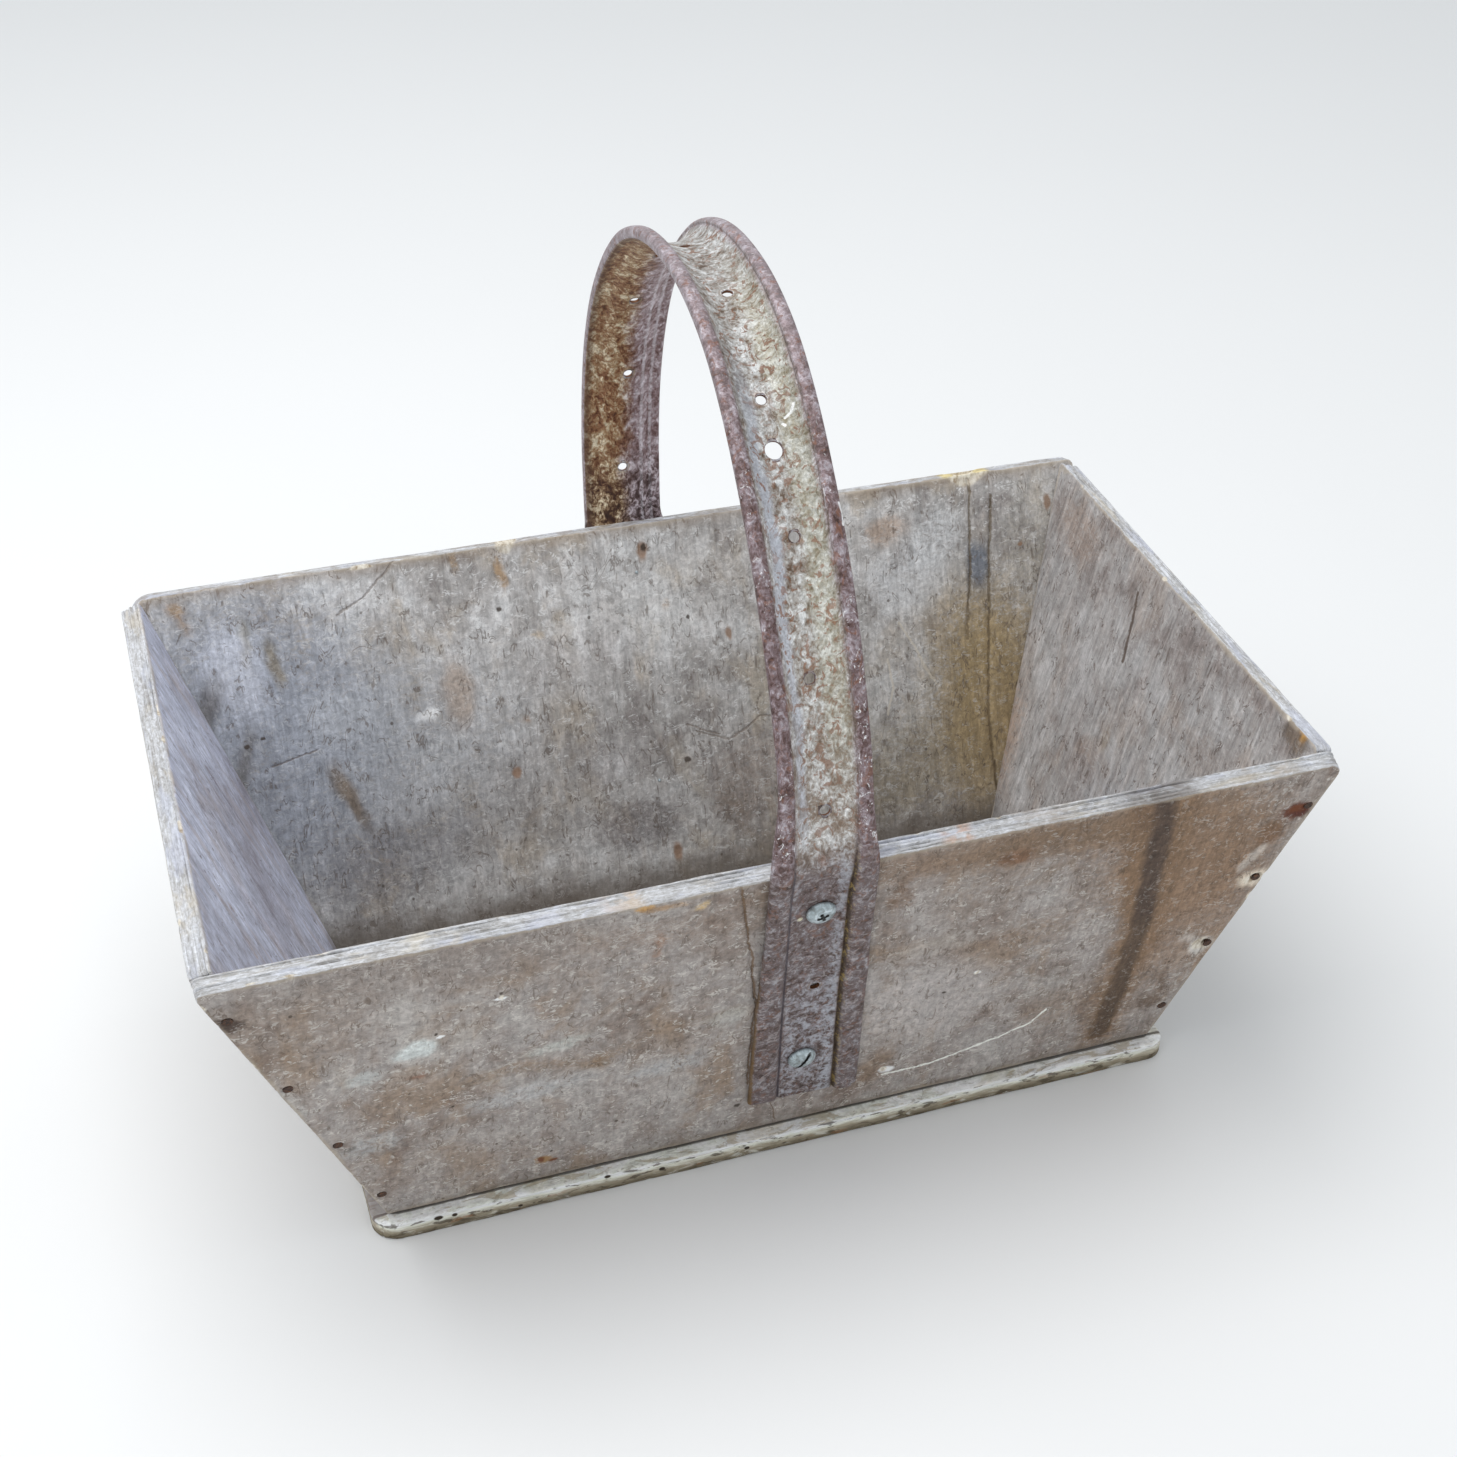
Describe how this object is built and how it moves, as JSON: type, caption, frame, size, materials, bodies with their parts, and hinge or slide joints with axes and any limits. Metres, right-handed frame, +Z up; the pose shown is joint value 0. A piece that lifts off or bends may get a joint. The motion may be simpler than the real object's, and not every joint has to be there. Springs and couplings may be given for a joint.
{
  "type": "wooden planter trug",
  "caption": "Weathered plywood trug planter with outward-leaning walls, a projecting base and an arched carrying handle of bent channel steel.",
  "frame": {"origin": "centre of the outline on the surface that the base stands on", "axes": "+X along the box's length, +Y to the back, +Z up through the top of the handle"},
  "size_m": [0.4816, 0.3174, 0.3976],
  "materials": {
    "front_ply": "weathered, stained",
    "back_ply": "weathered grey",
    "left_ply": "weathered grey",
    "right_ply": "weathered grey",
    "base_ply": "weathered with worn pale paint",
    "rim_steel": "dull plated steel with rust",
    "screw_zinc": "dull zinc",
    "nail_steel": "dark rusted steel"
  },
  "bodies": {
    "root": {"back_board": "back_ply", "base_board": "base_ply", "front_board": "front_ply", "handle_screw_back_lower": "screw_zinc", "handle_screw_back_upper": "screw_zinc", "handle_screw_front_lower": "screw_zinc", "handle_screw_front_upper": "screw_zinc", "left_end_board": "left_ply", "nail_back_left_1": "nail_steel", "nail_back_left_2": "nail_steel", "nail_back_left_3": "nail_steel", "nail_back_left_4": "nail_steel", "nail_back_right_1": "nail_steel", "nail_back_right_2": "nail_steel", "nail_back_right_3": "nail_steel", "nail_back_right_4": "nail_steel", "nail_base_back_1": "nail_steel", "nail_base_back_2": "nail_steel", "nail_base_back_3": "nail_steel", "nail_base_front_1": "nail_steel", "nail_base_front_2": "nail_steel", "nail_base_front_3": "nail_steel", "nail_base_left_1": "nail_steel", "nail_base_left_2": "nail_steel", "nail_base_right_1": "nail_steel", "nail_base_right_2": "nail_steel", "nail_front_left_1": "nail_steel", "nail_front_left_2": "nail_steel", "nail_front_left_3": "nail_steel", "nail_front_left_4": "nail_steel", "nail_front_right_1": "nail_steel", "nail_front_right_2": "nail_steel", "nail_front_right_3": "nail_steel", "nail_front_right_4": "nail_steel", "right_end_board": "right_ply", "rim_handle": "rim_steel"}
  },
  "joints": []
}
